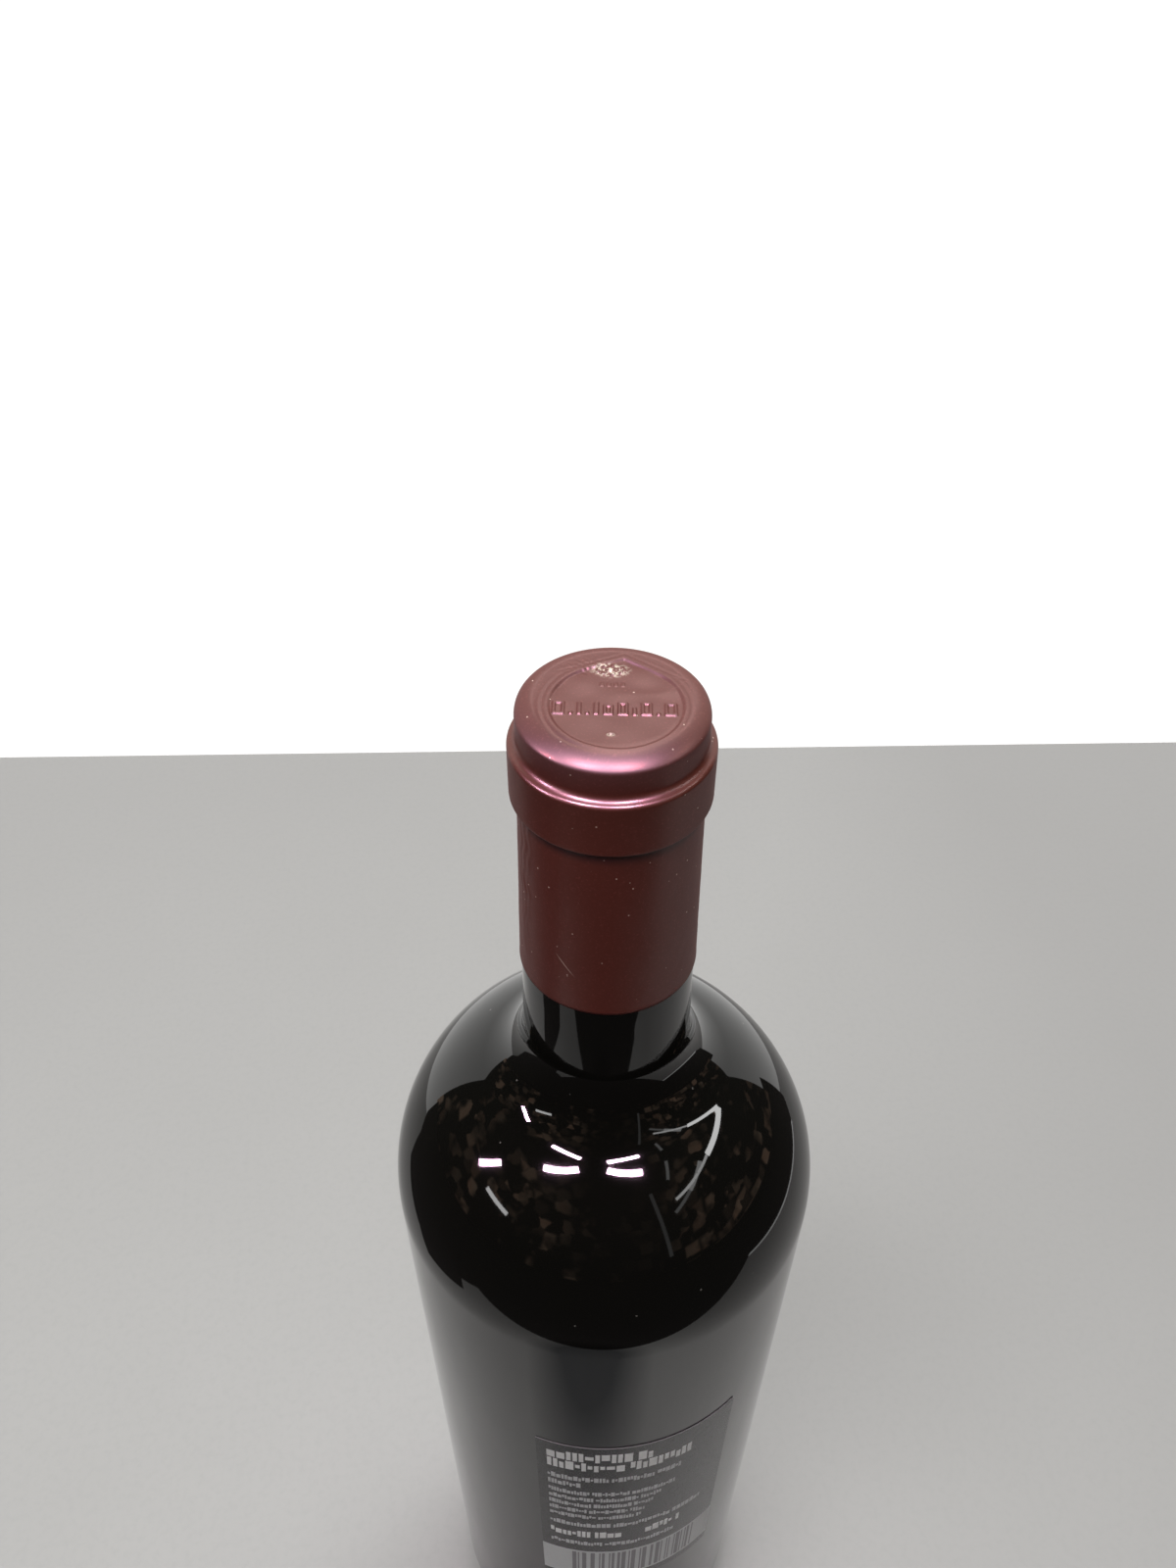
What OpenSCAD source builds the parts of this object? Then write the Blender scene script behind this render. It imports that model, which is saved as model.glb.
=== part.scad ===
// Wine bottle, heavy tapered Bordeaux shape, 750 ml, standing upright.
// Millimetres, +Z up. The origin is the centre of the foot, on the surface that the bottle stands on.
// The back label faces -Y. The glass is opaque and shut, so the bottle is solid out to its surface.

/* [Glass body] */
// Height of the glass, from the foot ring to the rim of the mouth
glass_h = 305; // [250:1:370]
// Diameter of the body where the shoulder's round ends
shoulder_d = 81.5; // [67:0.5:98]
// Lean of the body's side: the body narrows towards the foot by this angle, in degrees
body_taper = 0.8; // [0:0.1:1.5]
// Radius of the shoulder's round
shoulder_r = 36.8; // [30:0.2:40]
// Drop from the rim of the mouth to the centre of the shoulder's round
shoulder_drop = 113.3; // [94:0.1:140]
// Radius of the hollow curve between the neck and the shoulder
neck_root_r = 15.5; // [8:0.5:30]

/* [Neck and mouth] */
// Diameter of the lip, the ring at the mouth
lip_d = 27.2; // [22:0.1:33]
// Height of the lip, down to the collar
lip_h = 6.9; // [3:0.1:12]
// Radius of the lip's upper edge
lip_round = 2; // [0.5:0.1:2.5]
// Step from the lip out to the side of the collar, the band below the lip
collar_step = 1.25; // [1.05:0.05:3]
// Height of the collar
collar_h = 8.7; // [3:0.1:14]
// Radius of the collar's upper edge
collar_round = 0.85; // [0.2:0.05:1.5]
// Step from the collar's side in to the neck just below it
neck_step = 1.1; // [0.6:0.05:3]
// Spread of the neck's side: the neck widens downwards by this angle, in degrees
neck_taper = 1; // [0:0.1:1.4]

/* [Foot] */
// Radius of the heel, where the side turns into the foot
heel_r = 7; // [3:0.5:12]
// Width of the flat ring that the bottle stands on
foot_ring_w = 3.2; // [1.5:0.1:8]
// Radius of the ring's inner edge
foot_inner_r = 4; // [1:0.5:6]
// Height of the punt, the hollow under the bottle
punt_h = 22; // [8:1:40]

/* [Capsule] */
// Straight neck left bare below the foil capsule
bare_neck = 16.9; // [2:0.1:28]
// Thickness of the foil
foil_t = 0.3; // [0.2:0.05:0.6]
// Clearance between the foil and the sides of the glass
foil_gap = 0.05; // [0.02:0.01:0.2]
// Width of the plain band between the stamp and the round of the capsule's edge
stamp_margin = 0.25; // [0.2:0.05:4]
// Width of the stamped ring's groove
stamp_w = 0.9; // [0.4:0.1:1.5]
// Depth of the stamped ring's groove
stamp_depth = 0.12; // [0.05:0.01:0.15]
// How far the stamp sits to the label's side of the centre
stamp_off = 1.2; // [0:0.1:1.5]

/* [Back label] */
// Width of the label, measured round the body
label_w = 42; // [20:1:100]
// Height of the label
label_h = 82; // [30:1:100]
// Drop from the centre of the shoulder's round to the label's upper edge
label_drop = 40.7; // [5:0.1:70]
// Thickness of the label
label_t = 0.15; // [0.1:0.05:0.4]
// Thickness of the glue film between the glass and the label
glue_t = 0.05; // [0.02:0.01:0.1]

/* [Hidden] */

// Steps in the drawn arcs: the large rounds and the small edges
BIG_STEPS = 20;
SMALL_STEPS = 6;
// Fineness of the turned shapes
$fn = 96;

// Heights of the ledge between lip and collar and of the collar's underside
ledge_z = glass_h - lip_h;
collar_z = ledge_z - collar_h;

// Diameters of the collar, and of the neck just below it
collar_d = lip_d + 2 * collar_step;
neck_d = collar_d - 2 * neck_step;
// The collar's edge stops where the foil on the lip's side needs the ledge
collar_edge = min(collar_round, collar_step - foil_gap - foil_t);

// Points of an arc in the half-plane of the outline, from angle a0 to angle a1
function arc(centre, r, a0, a1, steps) =
    [for (i = [0:steps])
        let (a = a0 + (a1 - a0) * i / steps)
        centre + r * [cos(a), sin(a)]];

// Radius of the glass neck at height z
function neck_r(z) = neck_d / 2 + (collar_z - z) * tan(neck_taper);

// The shoulder's round, and the point where it runs out into the body's side
shoulder_c = [shoulder_d / 2 - shoulder_r, glass_h - shoulder_drop];
side_top = shoulder_c + shoulder_r * [cos(body_taper), -sin(body_taper)];

// Radius of the body's side at height z
function side_r(z) = side_top[0] - (side_top[1] - z) * tan(body_taper);

// The hollow curve touches the neck's side and the shoulder's round
neck_down = [sin(neck_taper), -cos(neck_taper)];
neck_out = [cos(neck_taper), sin(neck_taper)];
root_start = [neck_r(collar_z), collar_z] + neck_root_r * neck_out;
root_reach = neck_root_r + shoulder_r;
root_along = (root_start - shoulder_c) * neck_down;
root_far = (root_start - shoulder_c) * (root_start - shoulder_c) - root_reach * root_reach;
root_run = -root_along - sqrt(root_along * root_along - root_far);
root_c = root_start + root_run * neck_down;
root_angle = atan2(root_c[1] - shoulder_c[1], root_c[0] - shoulder_c[0]);

// The heel touches the body's side and the standing surface
heel_run = (side_top[1] + heel_r * sin(body_taper) - heel_r) / cos(body_taper);
heel_x = side_top[0] - heel_run * sin(body_taper) - heel_r * cos(body_taper);

// The punt is a dome that meets the round inner edge of the foot ring
ring_x = heel_x - foot_ring_w;
punt_r = (ring_x * ring_x + punt_h * punt_h) / (2 * punt_h) - foot_inner_r;
punt_c = [0, punt_h - punt_r];
punt_angle = atan2(foot_inner_r - punt_c[1], ring_x);

// The stamp keeps its margin from the round of the capsule's edge on the side that it is moved to
stamp_r = lip_d / 2 - lip_round - stamp_off - stamp_margin - stamp_w / 2;

// Heights of the label's edges, which stay below the shoulder
label_top = shoulder_c[1] - label_drop;
label_low = label_top - label_h;

// Outline of lip and collar, let out by side and by up, with the lip's top at height top_z
function finish_outline(side, up, top_z) = concat(
    arc([lip_d / 2 - lip_round, top_z - lip_round - side], lip_round + side, 90, 0, SMALL_STEPS),
    [[lip_d / 2 + side, ledge_z + up]],
    arc([collar_d / 2 - collar_edge, ledge_z + up - collar_edge - side],
        collar_edge + side, 90, 0, SMALL_STEPS),
    [[collar_d / 2 + side, collar_z - up]],
    [[neck_r(collar_z) + side, collar_z - up]]
);

module bottle() {
    outline = concat(
        [[0, glass_h]],
        finish_outline(0, 0, glass_h),
        arc(root_c, neck_root_r, 180 + neck_taper, 180 + root_angle, BIG_STEPS),
        [for (i = [1:BIG_STEPS])
            arc(shoulder_c, shoulder_r, root_angle, -body_taper, BIG_STEPS)[i]],
        arc([heel_x, heel_r], heel_r, -body_taper, -90, SMALL_STEPS),
        arc([ring_x, foot_inner_r], foot_inner_r, -90, punt_angle - 180, SMALL_STEPS),
        [for (i = [1:BIG_STEPS])
            arc(punt_c, punt_r, punt_angle, 90, BIG_STEPS)[i]]
    );
    color("#0b0f0c")
        rotate_extrude()
            polygon(outline);
}

module capsule() {
    skirt_z = root_c[1] + bare_neck;
    outer = foil_gap + foil_t;
    inner_line = finish_outline(foil_gap, foil_gap, glass_h);
    inner_back = [for (i = [len(inner_line) - 1:-1:0]) inner_line[i]];
    outline = concat(
        [[0, glass_h + foil_t]],
        finish_outline(outer, outer, glass_h + foil_t),
        [[neck_r(skirt_z) + outer, skirt_z]],
        [[neck_r(skirt_z) + foil_gap, skirt_z]],
        inner_back,
        [[0, glass_h]]
    );
    color("#6d2733")
        difference() {
            rotate_extrude()
                polygon(outline);
            translate([0, -stamp_off, glass_h + foil_t - stamp_depth])
                stamp_groove();
        }
}

// Cutter for the stamped ring: its section is a shallow box that stands proud of the foil
module stamp_groove() {
    rotate_extrude()
        translate([stamp_r - stamp_w / 2, 0])
            square([stamp_w, 2 * stamp_depth]);
}

module back_label() {
    sweep = label_w / side_r(label_top - label_h / 2) * 180 / PI;
    inside = glue_t;
    outside = glue_t + label_t;
    color("#2a2a2d")
        rotate([0, 0, -90 - sweep / 2])
            rotate_extrude(angle = sweep)
                polygon([
                    [side_r(label_low) + inside, label_low],
                    [side_r(label_low) + outside, label_low],
                    [side_r(label_top) + outside, label_top],
                    [side_r(label_top) + inside, label_top]
                ]);
}

bottle();
capsule();
back_label();
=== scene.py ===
"""Looks of a wine bottle: dark glossy glass, a stamped burgundy foil capsule and a dark back label.

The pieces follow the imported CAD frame: +Z up, the foot on z = 0, the back label facing -Y. Sizes below are in
millimetres, as on a drawing, and become metres when a mesh is made.
"""

import math

import bpy
import numpy as np
from mathutils import Matrix, Vector


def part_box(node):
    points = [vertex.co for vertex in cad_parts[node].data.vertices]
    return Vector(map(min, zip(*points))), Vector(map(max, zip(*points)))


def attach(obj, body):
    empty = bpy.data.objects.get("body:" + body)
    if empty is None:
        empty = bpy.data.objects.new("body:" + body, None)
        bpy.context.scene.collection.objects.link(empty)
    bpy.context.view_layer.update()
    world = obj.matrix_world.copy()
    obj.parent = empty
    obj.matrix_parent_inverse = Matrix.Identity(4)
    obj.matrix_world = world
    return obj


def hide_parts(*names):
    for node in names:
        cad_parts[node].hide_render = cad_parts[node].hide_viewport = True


MM = 0.001
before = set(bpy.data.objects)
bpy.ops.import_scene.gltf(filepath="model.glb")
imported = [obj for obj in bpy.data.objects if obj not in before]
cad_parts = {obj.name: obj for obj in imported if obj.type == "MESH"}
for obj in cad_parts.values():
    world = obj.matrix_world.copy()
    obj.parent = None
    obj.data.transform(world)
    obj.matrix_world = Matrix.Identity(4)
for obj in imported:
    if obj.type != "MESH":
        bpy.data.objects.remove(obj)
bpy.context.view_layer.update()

# ---------------------------------------------------------------- sizes, in mm

# From the frame
GLASS_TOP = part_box("bottle")[1].z / MM
CAPSULE_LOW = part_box("capsule")[0].z / MM
CAPSULE_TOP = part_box("capsule")[1].z / MM
LABEL_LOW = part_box("back_label")[0].z / MM
LABEL_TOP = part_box("back_label")[1].z / MM
LABEL_HALF_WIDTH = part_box("back_label")[1].x / MM

# The turned outline, as the CAD part has it
SHOULDER_D = 81.5
BODY_TAPER = math.radians(0.8)
SHOULDER_R = 36.8
SHOULDER_DROP = 113.3
NECK_ROOT_R = 15.5
LIP_D = 27.2
LIP_H = 6.9
LIP_ROUND = 2.0
COLLAR_D = 29.7
COLLAR_H = 8.7
COLLAR_ROUND = 0.85
NECK_D = 27.5
NECK_TAPER = math.radians(1.0)
HEEL_R = 7.0
FOOT_RING_W = 3.2
FOOT_INNER_R = 4.0
PUNT_H = 22.0
FOIL_T = 0.3
FOIL_GAP = 0.05
FOIL_OUT = FOIL_GAP + FOIL_T
GLUE_T = 0.05
LABEL_T = 0.15

# Room inside the capsule, where nothing shows: how far its inner face and the glass step back from
# where the CAD has them, so that the stamp's and the foil's dents cut through neither
INNER_ROOM = 0.4
HIDDEN_ROOM = 0.5
TOP_ROOM = FOIL_T + INNER_ROOM - 0.06

LEDGE_Z = GLASS_TOP - LIP_H
COLLAR_Z = LEDGE_Z - COLLAR_H

# The camera's side and the stamp on the capsule are turned from the label by this angle
SIDE_TURN = math.radians(-12.5)


# ---------------------------------------------------------------- small helpers

def arc(centre, r, start, end, steps):
    """Points of an arc in the outline's half-plane, from angle start to angle end, in radians."""
    angles = np.linspace(start, end, steps + 1)
    return [(centre[0] + r * math.cos(a), centre[1] + r * math.sin(a)) for a in angles]


def line(start, end, step):
    """Points from start up to, but not with, end, about step apart."""
    start, end = np.array(start, float), np.array(end, float)
    count = max(1, round(float(np.linalg.norm(end - start)) / step))
    return [tuple(start + (end - start) * i / count) for i in range(count)]


def ramp(x, middle, width):
    """0 below middle, 1 above it, with a smooth rise as wide as width."""
    t = np.clip((x - middle) / width + 0.5, 0, 1)
    return t * t * (3 - 2 * t)


def bell(x, middle, width):
    """A smooth bump of height 1; width is how far from its middle it has nearly gone."""
    return np.exp(-((x - middle) / (0.5 * width)) ** 2)


def degrees_from(angle, middle):
    """The turn from middle to angle the short way round, in degrees."""
    return np.degrees(np.angle(np.exp(1j * (angle - middle))))


def ripple(angle, height, seed, waves, turns, length):
    """Smooth unevenness round a turned surface, from about -1 to 1: a sum of waves.

    turns is the most waves that fit round it, and length the shortest wave up and down, in mm."""
    rng = np.random.RandomState(seed)
    total = np.zeros(np.broadcast(angle, height).shape)
    for _ in range(waves):
        round_count = rng.randint(0, turns + 1)
        pitch = length * (1 + 2 * rng.rand())
        phase = rng.rand() * math.tau
        slant = rng.choice((-1, 1))
        total += np.sin(round_count * angle + slant * math.tau * height / pitch + phase)
    return total / math.sqrt(waves)


def mesh_object(name, points, faces, smooth=True):
    """A new object from points in metres, with even shading."""
    mesh = bpy.data.meshes.new(name)
    mesh.from_pydata([tuple(p) for p in points], [], faces)
    mesh.polygons.foreach_set("use_smooth", [smooth] * len(mesh.polygons))
    mesh.update()
    obj = bpy.data.objects.new(name, mesh)
    bpy.context.scene.collection.objects.link(obj)
    return obj


def turned_grid(outline, turns):
    """(angles, radii, heights, grid of points in mm) of an outline whose two ends lie on the axis."""
    angles = np.arange(turns) * math.tau / turns
    radius = np.array([p[0] for p in outline])[:, None]
    height = np.array([p[1] for p in outline])[:, None]
    grid = np.stack([radius * np.cos(angles), radius * np.sin(angles), height + 0 * angles], -1)
    return angles, radius, height, grid


def turned_object(name, grid):
    """A closed mesh from a grid of rings; the first and the last ring are the poles."""
    rings, turns = grid.shape[:2]
    middle = grid[1:-1].reshape(-1, 3)
    points = np.concatenate([grid[:1, 0], middle, grid[-1:, 0]]) * MM
    last = len(points) - 1
    sides = [(j, (j + 1) % turns) for j in range(turns)]
    faces = [(0, 1 + j, 1 + k) for j, k in sides]
    for i in range(rings - 3):
        upper, lower = 1 + i * turns, 1 + (i + 1) * turns
        faces += [(upper + j, lower + j, lower + k, upper + k) for j, k in sides]
    lower = 1 + (rings - 3) * turns
    faces += [(lower + j, last, lower + k) for j, k in sides]
    return mesh_object(name, points, faces)


# ---------------------------------------------------------------- outlines

def neck_r(z):
    return NECK_D / 2 + (COLLAR_Z - z) * math.tan(NECK_TAPER)


SHOULDER_C = (SHOULDER_D / 2 - SHOULDER_R, GLASS_TOP - SHOULDER_DROP)
SIDE_TOP = (
    SHOULDER_C[0] + SHOULDER_R * math.cos(BODY_TAPER),
    SHOULDER_C[1] - SHOULDER_R * math.sin(BODY_TAPER),
)


def side_r(z):
    return SIDE_TOP[0] - (SIDE_TOP[1] - z) * math.tan(BODY_TAPER)


def neck_root():
    """Centre of the hollow curve that touches the neck's side and the shoulder's round."""
    down = np.array([math.sin(NECK_TAPER), -math.cos(NECK_TAPER)])
    out = np.array([math.cos(NECK_TAPER), math.sin(NECK_TAPER)])
    start = np.array([neck_r(COLLAR_Z), COLLAR_Z]) + NECK_ROOT_R * out
    away = start - np.array(SHOULDER_C)
    along = float(away @ down)
    far = float(away @ away) - (NECK_ROOT_R + SHOULDER_R) ** 2
    return start + (-along - math.sqrt(along * along - far)) * down


def foot_outline():
    """Heel, foot ring and punt, from the body's side to the axis."""
    run = (SIDE_TOP[1] + HEEL_R * math.sin(BODY_TAPER) - HEEL_R) / math.cos(BODY_TAPER)
    heel_x = SIDE_TOP[0] - run * math.sin(BODY_TAPER) - HEEL_R * math.cos(BODY_TAPER)
    ring_x = heel_x - FOOT_RING_W
    punt_r = (ring_x**2 + PUNT_H**2) / (2 * PUNT_H) - FOOT_INNER_R
    punt_c = (0, PUNT_H - punt_r)
    turn = math.atan2(FOOT_INNER_R - punt_c[1], ring_x)
    heel = arc((heel_x, HEEL_R), HEEL_R, -BODY_TAPER, -math.pi / 2, 14)
    inner = arc((ring_x, FOOT_INNER_R), FOOT_INNER_R, -math.pi / 2, turn - math.pi, 8)
    punt = arc(punt_c, punt_r, turn, math.pi / 2, 24)
    punt[-1] = (0, PUNT_H)
    return heel + inner + punt[1:]


def finish_outline(side, up, top_z, steps=6):
    """Lip and collar, let out by side and by up, down to the top of the neck."""
    lip_c = (LIP_D / 2 - LIP_ROUND, top_z - LIP_ROUND - side)
    collar_c = (COLLAR_D / 2 - COLLAR_ROUND, LEDGE_Z + up - COLLAR_ROUND - side)
    return (
        arc(lip_c, LIP_ROUND + side, math.pi / 2, 0, steps)
        + [(LIP_D / 2 + side, LEDGE_Z + up)]
        + arc(collar_c, COLLAR_ROUND + side, math.pi / 2, 0, steps)
        + [(COLLAR_D / 2 + side, COLLAR_Z - up)]
        + [(neck_r(COLLAR_Z) + side, COLLAR_Z - up)]
    )


# ---------------------------------------------------------------- glass

def glass_outline():
    """The whole bottle; inside the capsule the glass keeps clear of the foil's dents."""
    root_c = neck_root()
    turn = math.atan2(root_c[1] - SHOULDER_C[1], root_c[0] - SHOULDER_C[0])
    root_top = root_c + NECK_ROOT_R * np.array([-math.cos(NECK_TAPER), -math.sin(NECK_TAPER)])
    tuck_z = CAPSULE_LOW + 1.5
    finish = finish_outline(-HIDDEN_ROOM, -HIDDEN_ROOM, GLASS_TOP - HIDDEN_ROOM)
    root = arc(root_c, NECK_ROOT_R, math.pi + NECK_TAPER, math.pi + turn, 44)
    shoulder = arc(SHOULDER_C, SHOULDER_R, turn, -BODY_TAPER, 90)
    side = line(SIDE_TOP, (side_r(HEEL_R), HEEL_R), 3.0)
    return (
        [(0, GLASS_TOP - HIDDEN_ROOM)]
        + finish
        + [(neck_r(tuck_z) - HIDDEN_ROOM, tuck_z)]
        + line((neck_r(tuck_z - 0.5), tuck_z - 0.5), root_top, 1.0)
        + root
        + shoulder[1:]
        + side[1:]
        + foot_outline()
    )


def glass_bottle():
    angles, radius, height, grid = turned_grid(glass_outline(), 256)
    shown = ramp(height, 12, 16) * (1 - ramp(height, CAPSULE_LOW - 4, 6))
    swell = 0.020 * ripple(angles, height, 11, 10, 5, 45)
    swell += 0.0035 * ripple(angles, height, 12, 14, 16, 12)
    swell = np.minimum(swell - 0.036, 0)
    grid[..., :2] *= (1 + shown * swell / np.maximum(radius, 1))[..., None]
    return turned_object("glass_bottle", grid)


# ---------------------------------------------------------------- capsule

# The stamp in the capsule's top, in mm from the axis, as seen with the camera's side towards -Y
STAMP_C = (0.5, -1.3)
STAMP_R = 9.4
STAMP_DEPTH = 0.27
ROOF_TOP = (1.5, 9.6)
# The raised pads across the middle: each one's width, and its height as a share of the row's
PADS = (
    (1.7, 1.0), (0.45, 0.2), (0.55, 1.0), (0.45, 0.2), (0.65, 1.0), (1.35, 0.8),
    (1.4, 1.0), (0.5, 0.6), (1.5, 1.0), (0.45, 0.2), (1.7, 1.0),
)
PAD_GAP = 0.66
PAD_ROW = (-8.4, -3.5, 2.8)
PAD_STROKE = 0.42
PAD_RISE = 0.26
ROSETTE_C = (-0.4, 7.0)
ROSETTE_HALF = (1.9, 0.9)
ROSETTE_STUDS = 9
NICK_C = (-0.2, -7.8)
# Room left for what stands proud of the top's plain surface
TOP_DROP = 0.05
# Ridges and grooves round the stamp's edge: distance outside it, width, and height at the near and far side
EDGE_RIDGES = ((0.45, 0.6, 0.03, 0.08), (1.05, 0.4, -0.05, -0.015), (1.55, 0.5, 0.04, 0.02))


def stamp_edge(x, y):
    """Distance outside the stamped field: a circle, drawn out to a blunt corner on the far side."""
    ring = np.hypot(x - STAMP_C[0], y - STAMP_C[1]) - STAMP_R
    reach_x, reach_y = ROOF_TOP[0] - STAMP_C[0], ROOF_TOP[1] - STAMP_C[1]
    reach = math.hypot(reach_x, reach_y)
    aim = math.atan2(reach_y, reach_x)
    half = math.acos(STAMP_R / reach)
    sides = [
        (x - STAMP_C[0]) * math.cos(aim + turn) + (y - STAMP_C[1]) * math.sin(aim + turn) - STAMP_R
        for turn in (half, -half)
    ]
    chord = (x - STAMP_C[0]) * math.cos(aim) + (y - STAMP_C[1]) * math.sin(aim) - STAMP_R * math.cos(half)
    roof = np.maximum(np.maximum(*sides), -chord)
    return np.minimum(ring, roof)


def pad(x, y, low_x, low_y, width, height, edge=0.20):
    """A raised pad with soft edges, from 0 to 1."""
    across = ramp(x, low_x, edge) * (1 - ramp(x, low_x + width, edge))
    along = ramp(y, low_y, edge) * (1 - ramp(y, low_y + height, edge))
    return across * along


def pads(x, y):
    """A row of plain raised pads and frames, where such a capsule carries its stamped code."""
    start, low, height = PAD_ROW
    total = np.zeros_like(x)
    for width, share in PADS:
        total += pad(x, y, start, low, width, height * share)
        if width > 1:
            hole_w, hole_h = width - 2 * PAD_STROKE, height * share - 2 * PAD_STROKE
            total -= pad(x, y, start + PAD_STROKE, low + PAD_STROKE, hole_w, hole_h)
        start += width + PAD_GAP
    return total


def rosette(x, y):
    """A small oval wreath of studs round a middle one, over four tiny pads."""
    half_width, half_height = ROSETTE_HALF
    dx, dy = x - ROSETTE_C[0], y - ROSETTE_C[1]
    total = 1.1 * np.exp(-((dx / 0.6) ** 2 + (dy / 0.4) ** 2))
    for i in range(ROSETTE_STUDS):
        turn = math.tau * i / ROSETTE_STUDS
        across, along = dx - half_width * math.cos(turn), dy - half_height * math.sin(turn)
        total += np.exp(-(across * across + along * along) / 0.32**2)
    for i in range(4):
        total += 0.4 * pad(x, y, -1.9 + 1.0 * i, 3.1, 0.55, 0.9, 0.2)
    return total


def crumple(x, y, seed, count, length):
    """Small irregular folds, from about -1 to 1."""
    rng = np.random.RandomState(seed)
    total = np.zeros_like(x)
    for _ in range(count):
        turn = rng.rand() * math.tau
        pitch = length * (0.7 + rng.rand())
        total += np.sin((x * math.cos(turn) + y * math.sin(turn)) * math.tau / pitch + rng.rand() * math.tau)
    return total / math.sqrt(count)


def nick(x, y):
    """A small dint in the near part of the stamp, with a raised rim."""
    away = np.hypot(x - NICK_C[0], (y - NICK_C[1]) * 1.3)
    return 0.06 * bell(away, 0.55, 0.4) - 0.18 * bell(away, 0, 0.6)


def stretch_lines(x, y, edge):
    """Fine lines round the near side, outside the stamp."""
    near = ramp(-y, 6.5, 5) * ramp(edge, 1.2, 1)
    distance = np.hypot(x, y) + 0.35 * np.sin(0.5 * x + 1)
    return -0.018 * (1 + np.sin(8.5 * distance)) * near


def sag(x, y):
    """How the foil sags inside the stamp, with a long fold at the right of its middle."""
    waves = 0.06 * np.sin(0.55 * x + 0.9 * y + 0.4) + 0.04 * np.sin(0.9 * x - 0.7 * y + 1.9)
    fold = (y - 1.3 - 0.06 * x) / 1.1
    folded = 0.10 * np.exp(-fold * fold) * ramp(x, 1.5, 4) * (1 - ramp(x, 8, 3))
    return waves * (0.4 + 0.6 * ramp(y, 0, 8)) + folded


def creases(x, y):
    """Crumpled foil at the far left."""
    within = np.exp(-(((x + 3.6) / 3.0) ** 2 + ((y - 7.6) / 1.5) ** 2))
    return 0.05 * within * crumple(x, y, 3, 9, 0.9)


def top_relief(x, y):
    """Height of the capsule's top above its plain surface."""
    edge = stamp_edge(x, y)
    inside = 1 - ramp(edge, 0, 0.5)
    far_side = ramp(y, 3.5, 4)
    height = -TOP_DROP - STAMP_DEPTH * inside
    for away, width, near, far in EDGE_RIDGES:
        height += (near + (far - near) * far_side) * bell(edge, away, width)
    height += PAD_RISE * (pads(x, y) + rosette(x, y)) * inside
    height += nick(x, y) + stretch_lines(x, y, edge) + sag(x, y) * inside + creases(x, y)
    return np.clip(height, -TOP_ROOM, 0)


# At the far side the foil lies over the lip's edge in a plain round. At the near side it is drawn flat
# into a slope, which starts at this distance from the axis; each part has a radius and ends at a lean
SLOPE_FROM = 9.6
DOME_PART = (5.34, 68)
SLOPE_PARTS = ((6.0, 50), (4.0, 40), (1.05, 0))
PART_STEPS = 8


def lip_round():
    """The plain round, from the top's edge to the lip's side."""
    centre = (LIP_D / 2 - LIP_ROUND, CAPSULE_TOP - LIP_ROUND - FOIL_OUT)
    return arc(centre, LIP_ROUND + FOIL_OUT, math.pi / 2, 0, PART_STEPS * len(SLOPE_PARTS))


def lip_slope():
    """(dome, slope): the near side's outline, on the top and on the lip's edge."""
    lean = math.pi / 2
    points = [(SLOPE_FROM, CAPSULE_TOP)]
    for radius, end in (DOME_PART, *SLOPE_PARTS):
        x, z = points[-1]
        centre = (x - radius * math.cos(lean), z - radius * math.sin(lean))
        points += arc(centre, radius, lean, math.radians(end), PART_STEPS)[1:]
        lean = math.radians(end)
    return points[: PART_STEPS + 1], points[PART_STEPS:]


def near_shift(outline):
    """How far each point of the outline moves at the near side, outwards and up."""
    dome, slope = (np.array(points) for points in lip_slope())
    plain = np.array(lip_round())
    first = outline.index(lip_round()[0])
    last = first + len(plain) - 1
    shift = np.zeros((len(outline), 2))
    flat_r = [p[0] for p in outline[:first]]
    shift[:first, 1] = np.interp(flat_r, dome[:, 0], dome[:, 1]) - CAPSULE_TOP
    shift[first : last + 1] = slope - plain
    # Below the edge the move dies out down the lip's side
    for i in range(last + 1, len(outline)):
        share = (outline[i][1] - LEDGE_Z - 1.3) / (plain[-1, 1] - LEDGE_Z - 1.3)
        if outline[i][1] > outline[i - 1][1] or share < 0:
            break
        shift[i, 1] = shift[last, 1] * share
    return shift


# Radii on the capsule's outside: the hollow between lip and ledge, and the edges under the collar
LEDGE_FILLET = 1.3
UNDER_ROUND = 0.35
UNDER_FILLET = 0.3
# Spacing of the outline's points on the top, on the lip's side, on the collar and on the skirt
TOP_STEP, LIP_STEP, COLLAR_STEP, SKIRT_STEP = 0.12, 0.35, 0.6, 0.45


def ledge_outline(lip_r, collar_r, ledge_z):
    """(centre of the hollow, centre of the round, angle where they meet): on the narrow ledge the foil's
    hollow at the lip runs straight into its round over the collar's edge."""
    reach = LEDGE_FILLET + COLLAR_ROUND
    across = reach - (collar_r - lip_r)
    rise = math.sqrt(reach * reach - across * across)
    crest_c = (collar_r - COLLAR_ROUND, ledge_z - COLLAR_ROUND)
    return (lip_r + LEDGE_FILLET, crest_c[1] + rise), crest_c, math.atan2(rise, across)


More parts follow.
